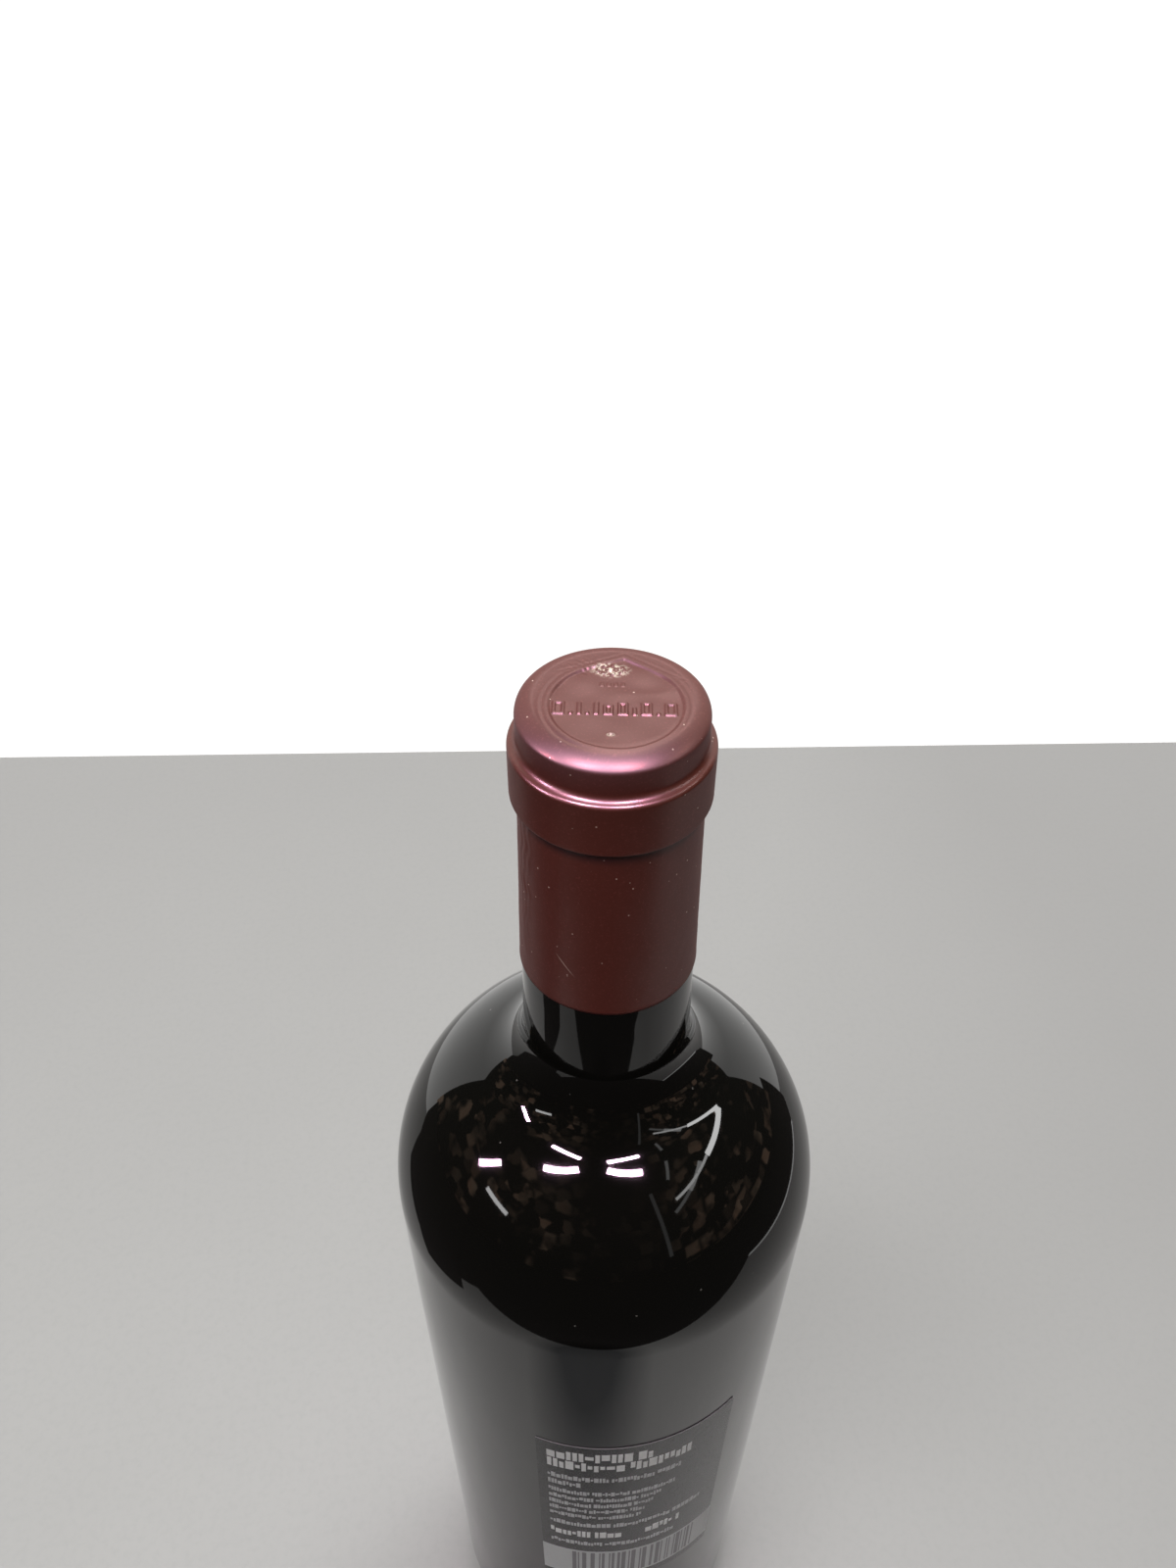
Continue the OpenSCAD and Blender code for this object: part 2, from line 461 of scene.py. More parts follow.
def capsule_outside():
    """The foil's outer face, from the middle of the top to the lower edge."""
    lip_r, collar_r, skirt_r = LIP_D / 2 + FOIL_OUT, COLLAR_D / 2 + FOIL_OUT, neck_r(COLLAR_Z) + FOIL_OUT
    under_z = COLLAR_Z - FOIL_OUT
    edge = lip_round()
    fillet_c, crest_c, meet = ledge_outline(lip_r, collar_r, LEDGE_Z + FOIL_OUT)
    under_c = (collar_r - UNDER_ROUND, under_z + UNDER_ROUND)
    skirt_c = (skirt_r + UNDER_FILLET, under_z - UNDER_FILLET)
    low = (neck_r(CAPSULE_LOW) + FOIL_OUT, CAPSULE_LOW)
    return (
        [(0, CAPSULE_TOP)]
        + line((TOP_STEP, CAPSULE_TOP), (edge[0][0], CAPSULE_TOP), TOP_STEP)
        + edge
        + line((lip_r, edge[-1][1] - 0.25), (lip_r, fillet_c[1]), LIP_STEP)
        + arc(fillet_c, LEDGE_FILLET, math.pi, math.pi + meet, 8)
        + arc(crest_c, COLLAR_ROUND, meet, 0, 10)[1:]
        + line((collar_r, crest_c[1] - 0.4), (collar_r, under_c[1]), COLLAR_STEP)
        + arc(under_c, UNDER_ROUND, 0, -math.pi / 2, 6)
        + arc(skirt_c, UNDER_FILLET, math.pi / 2, math.pi, 6)
        + line((skirt_r, skirt_c[1] - 0.3), low, SKIRT_STEP)
    )


def capsule_outline():
    """(outline, count of rings on the outside): out over the foil and back inside it."""
    outer = capsule_outside()
    low_r = neck_r(CAPSULE_LOW)
    step_back = FOIL_GAP - INNER_ROOM
    inner = [(low_r + FOIL_OUT, CAPSULE_LOW), (low_r + FOIL_GAP, CAPSULE_LOW)]
    inner += finish_outline(step_back, step_back, GLASS_TOP - INNER_ROOM)[::-1]
    inner += [(0, GLASS_TOP - INNER_ROOM)]
    return outer + inner, len(outer)


# Upright folds in the skirt, where the foil laps over itself: azimuth from the camera's side and lean of
# each, in degrees, its width and its strength
SEAM_FOLDS = ((-63, 0.10, 2.0, 1.0), (-70, -0.15, 1.8, 0.8), (-56, 0.30, 1.5, 0.5))


def seam(angle, height):
    """Height of the uneven folds, from 0 to about 1."""
    fade = 1 - ramp(height, COLLAR_Z - 1, 1.5)
    lower = ramp(height, COLLAR_Z - 29, 12)
    wander = 1.4 * np.sin(0.55 * height) + 0.9 * np.sin(1.3 * height + 1)
    total = np.zeros(np.broadcast(angle, height).shape)
    for turn, lean, width, strength in SEAM_FOLDS:
        middle = math.radians(turn - 90) + lean * (height - COLLAR_Z) / 100
        away = degrees_from(angle, middle) + wander
        total += strength * np.exp(-((away / width) ** 2)) * (0.75 + 0.25 * np.sin(0.9 * height + turn))
    return total * fade * (0.25 + 0.75 * lower)


def draw_near_edge(grid, outline, angles, seen):
    """Draws the top's edge into a slope at the near side."""
    near = ramp(-np.sin(seen), 0.1, 0.9)
    shift = near_shift(outline)
    grid[..., 0] += shift[:, :1] * near * np.cos(angles)
    grid[..., 1] += shift[:, :1] * near * np.sin(angles)
    grid[..., 2] += shift[:, 1:] * near


def side_swell(seen, height, outside):
    """How far the foil's sides stand out from their plain surface."""
    band = outside & (height < CAPSULE_TOP - 2)
    skirt = outside & (height < COLLAR_Z - 1)
    # The lip's side and the ledge: fine pleats, stronger on one side
    pleat_side = np.exp(-((degrees_from(seen, math.radians(-38)) / 16) ** 2))
    pleats = np.sin(140 * seen + 2.5 * height) * bell(height, LEDGE_Z + 0.9, 2.2)
    swell = np.where(band & (height > LEDGE_Z - 1), -0.035 * (1 + pleats) * pleat_side, 0)
    # The skirt: the overlap, a few soft dents and small unevenness
    uneven = 0.018 * ripple(seen, height, 5, 10, 9, 14) + 0.007 * ripple(seen, height, 6, 14, 40, 4)
    swell = swell + np.where(skirt, 0.13 * seam(seen, height) + uneven - 0.05, 0)
    swell = swell + np.where(band & ~skirt, np.minimum(0.5 * uneven, 0), 0)
    return np.where(band, np.clip(swell, -0.2, 0.1), 0)


def uneven_cut(seen, height):
    """How far the lower edge is raised, as it isn't cut quite level; it dies out up the skirt."""
    wave = 0.10 * np.sin(seen + 0.8) + 0.05 * np.sin(3 * seen) + 0.03 * np.sin(7 * seen + 2)
    cut = (0.18 + wave) * (1 - ramp(height, CAPSULE_LOW + 4, 8))
    return np.where(height < CAPSULE_LOW + 10, cut, 0)


def foil_capsule():
    outline, outer = capsule_outline()
    angles, radius, height, grid = turned_grid(outline, 360)
    seen = angles - SIDE_TURN
    outside = (np.arange(len(outline)) < outer)[:, None]
    draw_near_edge(grid, outline, angles, seen)
    # The stamp's relief, in the camera's own directions
    relief = top_relief(radius * np.cos(seen), radius * np.sin(seen))
    flat = 1 - ramp(radius, LIP_D / 2 - LIP_ROUND - 0.25, 0.5)
    grid[..., 2] += np.where(outside & (height > CAPSULE_TOP - 0.001), relief * flat, 0)
    grid[..., :2] *= (1 + side_swell(seen, height, outside) / np.maximum(radius, 1))[..., None]
    grid[..., 2] += uneven_cut(seen, height)
    return turned_object("foil_capsule", grid)


# ---------------------------------------------------------------- back label

LABEL_RISE = GLUE_T + LABEL_T
LABEL_MIDDLE_R = side_r((LABEL_TOP + LABEL_LOW) / 2)
# Half the label's width, measured round the glass
LABEL_HALF = math.asin(LABEL_HALF_WIDTH / (side_r(LABEL_TOP) + LABEL_RISE)) * LABEL_MIDDLE_R
PRINT_T = 0.02


def bent_patch(left, right, top, bottom, lift, thick, columns=None):
    """Points and faces of a thin closed patch bent round the body.

    left and right are mm round the body from the label's middle line, top and bottom are heights in mm, and
    lift is how far its inner face lies off the glass."""
    span = right - left
    columns = columns or max(1, round(span / 1.2))
    rows = max(1, round((top - bottom) / 12))
    turn = -math.pi / 2 + np.linspace(left, right, columns + 1) / LABEL_MIDDLE_R
    heights = np.linspace(top, bottom, rows + 1)
    layers = []
    for rise in (lift + thick, lift):
        for z in heights:
            r = side_r(z) + rise
            layers += [(r * math.cos(a), r * math.sin(a), z) for a in turn]
    wide = columns + 1
    under = wide * (rows + 1)
    faces = []
    for i in range(rows):
        for j in range(columns):
            a, b = i * wide + j, (i + 1) * wide + j
            faces += [(a, b, b + 1, a + 1), (under + a, under + a + 1, under + b + 1, under + b)]
    for j in range(columns):
        k = rows * wide + j
        faces += [(j, j + 1, under + j + 1, under + j), (k, under + k, under + k + 1, k + 1)]
    for i in range(rows):
        a, b = i * wide, (i + 1) * wide
        c, d = a + columns, b + columns
        faces += [(a, under + a, under + b, b), (c, d, under + d, under + c)]
    return layers, faces


def patches_object(name, patches):
    """One mesh from several bent patches."""
    points, faces = [], []
    for patch_points, patch_faces in patches:
        first = len(points)
        points += patch_points
        faces += [tuple(first + v for v in face) for face in patch_faces]
    return mesh_object(name, np.array(points) * MM, faces, smooth=False)


def label_sheet():
    sheet = bent_patch(-LABEL_HALF, LABEL_HALF, LABEL_TOP, LABEL_LOW, 0, LABEL_RISE, 48)
    obj = patches_object("back_label_sheet", [sheet])
    obj.data.polygons.foreach_set("use_smooth", [True] * len(obj.data.polygons))
    obj.data.set_sharp_from_angle(angle=math.radians(40))
    return obj


# Rows of print, in mm: drop of the row's top below the label's top, height of the marks,
# where the row starts and ends round the body, and how long its words are in marks
PRINT_LEFT = -18.8
HEADINGS = ((3.0, 4.2, PRINT_LEFT, 3.0, 7), (7.8, 4.2, PRINT_LEFT, 11.2, 7))
SMALL_ROWS = ((15.6, 2.3, PRINT_LEFT, 9.8, 8), (19.2, 2.3, PRINT_LEFT, -12.2, 6))
FINE_FIRST, FINE_PITCH, FINE_H = 23.8, 3.5, 2.0
FINE_ENDS = (8.8, 5.4, 3.8, 2.0, 1.6)
LOW_ROWS = ((42.8, 2.3, PRINT_LEFT, 16.0, 9), (55.0, 2.2, PRINT_LEFT, 9.6, 9))
VOLUME_ROW = ((48.2, 3.6, PRINT_LEFT, -3.0, 4), (48.2, 3.6, 2.6, 11.0, 3))
PANEL_TOP, PANEL_H = 61.4, 16.8
BARS_LEFT, BARS_RIGHT, BARS_MARGIN = -14.0, 15.6, 1.0


# A mark in a line of print: where it starts and ends, as shares of the line's height from its top
MARKS = ((0.0, 1.0), (0.0, 1.0), (0.0, 1.0), (0.25, 1.0), (0.25, 1.0), (0.0, 0.7), (0.3, 0.7))


def mark_row(drop, height, left, right, word, seed):
    """Small upright marks in groups, standing for a line of print without any lettering."""
    rng = np.random.RandomState(seed)
    top = LABEL_TOP - drop
    stroke, gap = 0.22 * height, 0.08 * height
    patches = []
    x = left
    count = 0
    while x < right - stroke:
        start, end = MARKS[rng.randint(len(MARKS))]
        width = stroke * rng.choice((1, 1, 1.8))
        upper, lower = top - start * height, top - end * height
        patches.append(bent_patch(x, x + width, upper, lower, LABEL_RISE, PRINT_T, 1))
        count += 1
        x += width + gap
        if count >= 2 * word + rng.randint(-4, 5):
            x += 2.5 * gap
            count = 0
    return patches


def print_marks():
    """The bright print and the dimmer fine print, each one piece."""
    bright, dim = [], []
    for i, row in enumerate(HEADINGS + VOLUME_ROW):
        bright += mark_row(*row, seed=20 + i)
    for i, row in enumerate(SMALL_ROWS + LOW_ROWS):
        dim += mark_row(*row, seed=40 + i)
    for i, end in enumerate(FINE_ENDS):
        dim += mark_row(FINE_FIRST + i * FINE_PITCH, FINE_H, PRINT_LEFT, end, 7, seed=60 + i)
    return patches_object("label_headings", bright), patches_object("label_fine_print", dim)


def barcode():
    """The pale panel across the label, and plain upright bars of uneven width on it."""
    top = LABEL_TOP - PANEL_TOP
    low = top - PANEL_H
    panel = bent_patch(-LABEL_HALF, LABEL_HALF, top, low, LABEL_RISE, PRINT_T, 40)
    lift = LABEL_RISE + PRINT_T
    rng = np.random.RandomState(7)
    bars = []
    x = BARS_LEFT
    while x < BARS_RIGHT:
        width = 0.33 * rng.choice((1, 1, 2, 3))
        bars.append(bent_patch(x, x + width, top - BARS_MARGIN, low + BARS_MARGIN, lift, PRINT_T, 1))
        x += width + 0.33 * rng.choice((1, 1, 2, 3))
    return patches_object("barcode_panel", [panel]), patches_object("barcode_bars", bars)


# ---------------------------------------------------------------- materials

def new_material(name):
    """(material, tree, shader) with an empty Principled material."""
    material = bpy.data.materials.new(name)
    material.use_nodes = True
    tree = material.node_tree
    return material, tree, tree.nodes["Principled BSDF"]


def simple_material(name, kind):
    """(material, tree, shader) with one shader of that kind in place of the Principled one."""
    material, tree, principled = new_material(name)
    tree.nodes.remove(principled)
    shader = tree.nodes.new(kind)
    tree.links.new(shader.outputs[0], tree.nodes["Material Output"].inputs["Surface"])
    return material, tree, shader


def put(node, values):
    """Plain values for the node's inputs, by their names."""
    for name, value in values.items():
        node.inputs[name].default_value = value


def object_coords(tree):
    """The shaded point in the object's own coordinates, in metres."""
    return tree.nodes.new("ShaderNodeTexCoord").outputs["Object"]


def split_xyz(tree, vector):
    """The sockets of a vector's X, Y and Z."""
    node = tree.nodes.new("ShaderNodeSeparateXYZ")
    tree.links.new(vector, node.inputs["Vector"])
    return node.outputs


def combine(tree, operation, first, second=None):
    """The result of a Math node, such as MULTIPLY, MAXIMUM or ABSOLUTE."""
    node = tree.nodes.new("ShaderNodeMath")
    node.operation = operation
    tree.links.new(first, node.inputs[0])
    if second is not None:
        tree.links.new(second, node.inputs[1])
    return node.outputs["Value"]


def noise(tree, scale, detail=3.0, roughness=0.5):
    """Noise over the object's own coordinates."""
    texture = tree.nodes.new("ShaderNodeTexNoise")
    put(texture, {"Scale": scale, "Detail": detail, "Roughness": roughness})
    tree.links.new(object_coords(tree), texture.inputs["Vector"])
    return texture.outputs["Fac"]


def remap(tree, value, low, high, to_low, to_high):
    """Maps value from low..high to to_low..to_high, clamped."""
    node = tree.nodes.new("ShaderNodeMapRange")
    put(node, {"From Min": low, "From Max": high, "To Min": to_low, "To Max": to_high})
    tree.links.new(value, node.inputs["Value"])
    return node.outputs["Result"]


def mix_colour(tree, share, first, second):
    """Colour between first and second; each is a colour or a socket."""
    node = tree.nodes.new("ShaderNodeMix")
    node.data_type = "RGBA"
    tree.links.new(share, node.inputs["Factor"])
    for socket, colour in ((node.inputs[6], first), (node.inputs[7], second)):
        if isinstance(colour, tuple):
            socket.default_value = (*colour, 1)
        else:
            tree.links.new(colour, socket)
    return node.outputs[2]


def bump(tree, shader, height, distance, strength=1.0):
    node = tree.nodes.new("ShaderNodeBump")
    put(node, {"Strength": strength, "Distance": distance})
    tree.links.new(height, node.inputs["Height"])
    tree.links.new(node.outputs["Normal"], shader.inputs["Normal"])


def specks(tree, scale, size):
    """1 on small scattered specks, 0 elsewhere."""
    texture = tree.nodes.new("ShaderNodeTexVoronoi")
    put(texture, {"Scale": scale})
    tree.links.new(object_coords(tree), texture.inputs["Vector"])
    return remap(tree, texture.outputs["Distance"], size, 0.6 * size, 0, 1)


def distance_from(tree, place, turn, reach):
    """Distance from a point of the part along turned axes, in shares of the reach along each.

    place and reach are in mm, and turn is the Euler angles in radians."""
    mapping = tree.nodes.new("ShaderNodeMapping")
    mapping.vector_type = "TEXTURE"
    put(mapping, {"Location": [c * MM for c in place], "Scale": [r * MM for r in reach], "Rotation": turn})
    tree.links.new(object_coords(tree), mapping.inputs["Vector"])
    length = tree.nodes.new("ShaderNodeVectorMath")
    length.operation = "LENGTH"
    tree.links.new(mapping.outputs["Vector"], length.inputs[0])
    return length.outputs["Value"]


def glass_material():
    material, tree, shader = new_material("dark_glass")
    tint = noise(tree, 30, 2)
    dark = mix_colour(tree, tint, (0.0030, 0.0034, 0.0026), (0.0050, 0.0042, 0.0034))
    dust = specks(tree, 160, 0.035)
    colour = mix_colour(tree, dust, dark, (0.16, 0.15, 0.14))
    tree.links.new(colour, shader.inputs["Base Color"])
    smear = noise(tree, 45, 4, 0.6)
    tree.links.new(remap(tree, smear, 0.35, 0.75, 0.022, 0.060), shader.inputs["Roughness"])
    put(shader, {"IOR": 1.45})
    bump(tree, shader, noise(tree, 90, 1), 0.00001)
    return material


def rubbed_glint_spot(tree, x, y, reach, share):
    """A soft mask round a point of the capsule's top, given from the camera's side, with a ragged edge: rubbed
    foil, painted pale as glints.
    """
    place = turned_to_side(x, y, 0)
    away = distance_from(tree, (place.x, place.y, CAPSULE_TOP), (0, 0, SIDE_TURN), reach)
    near = remap(tree, away, 1.0, 0.4, 0, 1)
    ragged = remap(tree, noise(tree, 1500, 2, 0.7), share, share + 0.06, 0, 1)
    return combine(tree, "MULTIPLY", near, ragged)


# A thin scratch low on the skirt: azimuth from the camera's side and lean from upright in degrees,
# height above the capsule's lower edge, and its half length and half width in mm
SCRATCH = {"azimuth": -27, "lean": -42, "rise": 9.7, "reach": 2.8, "thin": 0.07}


def scratch_line(tree):
    """1 on the scratch, 0 elsewhere."""
    height = CAPSULE_LOW + SCRATCH["rise"]
    around = direction(SCRATCH["azimuth"], 0) * (neck_r(height) + FOIL_OUT)
    turn = (0, math.radians(SCRATCH["lean"]), SIDE_TURN + math.radians(SCRATCH["azimuth"]))
    reach = (SCRATCH["thin"], 1.5, SCRATCH["reach"])
    away = distance_from(tree, (around.x, around.y, height), turn, reach)
    return remap(tree, away, 1.0, 0.5, 0, 1)


def foil_colour(tree, height, grain, rubbed_glint):
    """Burgundy lacquer with flakes, dust and the scratch, a painted shadow under the collar, and pale rubbed
    spots that are partly painted glints.
    """
    cloud = noise(tree, 55, 3)
    lacquer = mix_colour(tree, cloud, (0.118, 0.022, 0.008), (0.145, 0.028, 0.012))
    flaky = remap(tree, grain, 0.55, 0.8, 0, 0.5)
    flakes = mix_colour(tree, flaky, lacquer, (0.30, 0.085, 0.065))
    fine, coarse = specks(tree, 420, 0.060), specks(tree, 260, 0.042)
    dust = combine(tree, "MAXIMUM", fine, coarse)
    marks = combine(tree, "MAXIMUM", dust, scratch_line(tree))
    dusty = mix_colour(tree, marks, flakes, (0.80, 0.62, 0.50))
    # Painted shadow: a band just under the collar, darkened nearly to black
    below = remap(tree, height, (COLLAR_Z - 0.5) * MM, (COLLAR_Z - 0.3) * MM, 0.75, 0)
    fade = remap(tree, height, (COLLAR_Z - 3.2) * MM, (COLLAR_Z - 1.2) * MM, 0, 1)
    collar_shadow = combine(tree, "MULTIPLY", below, fade)
    collar_shadowed = mix_colour(tree, collar_shadow, dusty, (0.020, 0.003, 0.001))
    return mix_colour(tree, rubbed_glint, collar_shadowed, (0.80, 0.72, 0.56))


def foil_gloss(tree, height, rubbed_glint, shader):
    """Satin gloss, smoother on the top than on the rubbed skirt; the coat over it is softest on the top."""
    satin = remap(tree, height, (COLLAR_Z - 2) * MM, CAPSULE_TOP * MM, 0.46, 0.30)
    gloss = tree.nodes.new("ShaderNodeMix")
    tree.links.new(rubbed_glint, gloss.inputs["Factor"])
    tree.links.new(satin, gloss.inputs["A"])
    put(gloss, {"B": 0.16})
    tree.links.new(gloss.outputs["Result"], shader.inputs["Roughness"])
    soft = remap(tree, height, (LEDGE_Z + 1) * MM, (CAPSULE_TOP - 2) * MM, 0.32, 0.45)
    tree.links.new(soft, shader.inputs["Coat Roughness"])


def foil_material():
    """Satin burgundy lacquer over foil, rubbed through to bright metal at the stamp's high spots, whose pale
    colour there is partly a painted glint.
    """
    material, tree, shader = new_material("burgundy_foil")
    height = split_xyz(tree, object_coords(tree))["Z"]
    grain = noise(tree, 2600, 2, 0.7)
    rosette_glint = rubbed_glint_spot(tree, *ROSETTE_C, (3.2, 1.9, 3), 0.50)
    nick_glint = rubbed_glint_spot(tree, *NICK_C, (0.7, 0.5, 1), 0.40)
    # Rubbed spots: glossier, and painted pale as glints
    rubbed_glint = combine(tree, "MAXIMUM", rosette_glint, nick_glint)
    tree.links.new(foil_colour(tree, height, grain, rubbed_glint), shader.inputs["Base Color"])
    foil_gloss(tree, height, rubbed_glint, shader)
    put(shader, {
        "Metallic": 0.22, "Specular IOR Level": 0.0, "Specular Tint": (0.50, 0.28, 0.30, 1),
        "Coat Weight": 0.36, "Coat IOR": 2.4, "Coat Tint": (1.0, 0.88, 0.93, 1),
    })
    bump(tree, shader, grain, 0.00003, 0.5)
    return material


def cut_edge(tree):
    """1 on faces that look up or down, such as a label's cut edges, and 0 on its front."""
    normal = tree.nodes.new("ShaderNodeNewGeometry").outputs["True Normal"]
    upright = combine(tree, "ABSOLUTE", split_xyz(tree, normal)["Z"])
    return remap(tree, upright, 0.5, 0.8, 0, 1)


def sheet_material(name, light, dark, roughness, core=None):
    """Printed label stock: two close shades in soft patches, with a fine paper grain.

    core is the paper's colour where its cut edges show."""
    material, tree, shader = new_material(name)
    cloud = noise(tree, 120, 4, 0.6)
    grain = noise(tree, 3200, 2, 0.6)
    base = mix_colour(tree, cloud, dark, light)
    darker = tuple(0.8 * c for c in dark)
    colour = mix_colour(tree, remap(tree, grain, 0.5, 0.75, 0, 0.5), base, darker)
    if core:
        edge = cut_edge(tree)
        colour = mix_colour(tree, edge, colour, core)
        tree.links.new(remap(tree, edge, 0, 1, 0.36, 0), shader.inputs["Specular IOR Level"])
    tree.links.new(colour, shader.inputs["Base Color"])
    uneven = remap(tree, grain, 0.2, 0.8, roughness - 0.06, roughness + 0.06)
    tree.links.new(uneven, shader.inputs["Roughness"])
    bump(tree, shader, grain, 0.000006, 0.6)
    return material


def floor_material(name, shades):
    """Pale floor with painted shade. Each shade is an axis, the span along it where the floor is painted
    darker, and by how much.
    """
    material, tree, shader = new_material(name)
    cloud = noise(tree, 9, 5, 0.6)
    grain = remap(tree, noise(tree, 420, 3, 0.6), 0.45, 0.8, 0, 0.35)
    base = mix_colour(tree, cloud, (0.455, 0.455, 0.445), (0.495, 0.495, 0.485))
    colour = mix_colour(tree, grain, base, (0.41, 0.41, 0.405))
    place = split_xyz(tree, object_coords(tree))
    shares = [remap(tree, place[axis], start, end, 0, share) for axis, start, end, share in shades]
    # Painted shade over the floor's own colour
    colour = mix_colour(tree, combine(tree, "MAXIMUM", *shares), colour, (0.34, 0.335, 0.33))
    tree.links.new(colour, shader.inputs["Base Color"])
    put(shader, {"Roughness": 0.8, "Specular IOR Level": 0.0})
    return material


CLOTH_GLOW = (0.030, 0.027, 0.028)


def cloth_material(name):
    """(material, tree, shader) of dark cloth with a faint even glow."""
    material, tree, shader = new_material(name)
    put(shader, {
        "Base Color": (0.012, 0.011, 0.010, 1), "Roughness": 1.0, "Specular IOR Level": 0.0,
        "Emission Color": (*CLOTH_GLOW, 1), "Emission Strength": 1.0,
    })
    return material, tree, shader


def tent_material():
    """Dark cloth with dim warm glowing patches at its sides, painted reflections so that the gloss isn't empty.
    """
    material, tree, shader = cloth_material("tent_cloth")
    place = object_coords(tree)
    cells = tree.nodes.new("ShaderNodeTexVoronoi")
    cells.distance = "CHEBYCHEV"
    put(cells, {"Scale": 3.6})
    tree.links.new(place, cells.inputs["Vector"])
    aside = combine(tree, "ABSOLUTE", split_xyz(tree, place)["X"])
    share = remap(tree, cells.outputs["Color"], 0.45, 0.95, 0, 1)
    for mask in (
        remap(tree, cells.outputs["Distance"], 0.62, 0.42, 0, 1),
        remap(tree, noise(tree, 1.1, 3, 0.6), 0.44, 0.56, 0, 1),
        remap(tree, aside, 0.6, 1.7, 0.08, 1),
    ):
        share = combine(tree, "MULTIPLY", share, mask)
    # Painted reflections: warm glowing patches on the cloth
    warm_glow = mix_colour(tree, noise(tree, 3.1, 2), (0.85, 0.42, 0.26), (1.0, 0.82, 0.62))
    tree.links.new(mix_colour(tree, share, CLOTH_GLOW, warm_glow), shader.inputs["Emission Color"])
    return material


# ---------------------------------------------------------------- studio

# The floor ends behind the bottle in a straight edge, which is turned a little from the camera's side
FLOOR_BACK = 0.361
FLOOR_TURN = math.radians(3.0)
# Heights of what lies just under the floor that is seen, and shows in the gloss alone
RIM_Z, APRON_Z, DOUBLE_Z = -0.0003, -0.0006, -0.0012
# Painted shade: the floor that is seen is a little darker towards its back edge and the right, and its double
# at both sides
SEEN_PAINTED_SHADE = (("Y", 0.0, FLOOR_BACK, 0.45), ("X", 0.0, 0.25, 0.60))
DOUBLE_PAINTED_SHADE = (("X", 0.04, 0.14, 1.0), ("X", -0.05, -0.15, 0.9))
FLOOR_REACH = 2.4
# The round shade before the bottle, which lies just over the floor: its centre, radius and height
SHADE_C, SHADE_R, SHADE_Z = (-0.012, -0.14), 0.075, 0.0006
# The point in the bottle's shoulder that the lights and the strips are aimed at
AIM = Vector((0, 0, 0.22))
# The dark tent, and the part of it that is open to the pale wall behind the set; metres and degrees
TENT_R = 2.6
WALL_FROM, WALL_TO, WALL_TOP = 122, 245, 52
# Where the gloss sees the floor end, in mm with the camera's side towards -Y: the edge of the dark apron
APRON_EDGE = (
    (480, 330), (415, 230), (410, -172), (-235, -172), (-235, -108), (-192, -98), (-192, -8),
    (-240, 10), (-330, 115), (-560, 200), (-780, 345),
)
# Lamp strips that the gloss sees: where each starts and ends (azimuth, elevation), its width, all in
# degrees, and its radiance
LAMP_STRIPS = (
    ((-76.2, 19.4), (-68.3, 30.9), 3.0, 250), ((-46.5, 47.4), (-22.3, 56.0), 3.1, 470),
    ((3.6, 58.0), (32.6, 52.7), 3.2, 390),
)
# Weaker glowing strips, painted reflections of the edges of things at the side, as above
EDGE_REFLECTION_STRIPS = (
    ((-64.6, 15.9), (-49.3, 13.8), 2.4, 9), ((44.0, 30.5), (75.0, 34.0), 1.6, 6),
    ((75.0, 34.0), (103.0, 33.5), 3.2, 13), ((53.7, 29.5), (69.4, 35.7), 2.4, 3),
    ((40.7, 24.5), (53.7, 29.5), 1.8, 1.2), ((46.0, 41.8), (53.4, 50.4), 1.6, 1.5),
    ((31.5, 40.0), (32.3, 3.0), 1.8, 0.5),
)
LAMP_COLOUR = (0.95, 0.57, 0.83)
WHITE = (1.0, 1.0, 1.0)


def turned_to_side(x, y, z):
    """A point given with the camera's side towards -Y, in the part's own directions."""
    return Matrix.Rotation(SIDE_TURN, 3, "Z") @ Vector((x, y, z))


def direction(azimuth, elevation):
    """Unit vector: azimuth 0 is the camera's side of the bottle, 90 is its right; degrees."""
    a, e = math.radians(azimuth), math.radians(elevation)
    return turned_to_side(math.sin(a) * math.cos(e), -math.cos(a) * math.cos(e), math.sin(e))


def only_for_gloss(obj):
    """Shows in reflections, and nowhere else."""
    obj.visible_camera = False
    obj.visible_diffuse = False
    obj.visible_shadow = False


def floor_sheet(name, height, material):
    """A level sheet with the floor's outline, at that height."""
    corners = [
        (-FLOOR_REACH, -FLOOR_REACH), (FLOOR_REACH, -FLOOR_REACH),
        (FLOOR_REACH, FLOOR_BACK), (-FLOOR_REACH, FLOOR_BACK),
    ]
    turn = Matrix.Rotation(FLOOR_TURN, 3, "Z")
    points = [turned_to_side(*(turn @ Vector((x, y, height)))) for x, y in corners]
    sheet = mesh_object(name, points, [(0, 1, 2, 3)], smooth=False)
    sheet.data.materials.append(material)
    sheet.visible_shadow = False
    return sheet


def studio_floor():
    """The floor that is seen, and its double below the apron, for the gloss and the bounced light."""
    seen = floor_sheet("studio_floor", 0, floor_material("studio_floor", SEEN_PAINTED_SHADE))
    seen.visible_diffuse = False
    seen.visible_glossy = False
    double = floor_sheet("floor_double", DOUBLE_Z, floor_material("floor_double", DOUBLE_PAINTED_SHADE))
    double.visible_camera = False


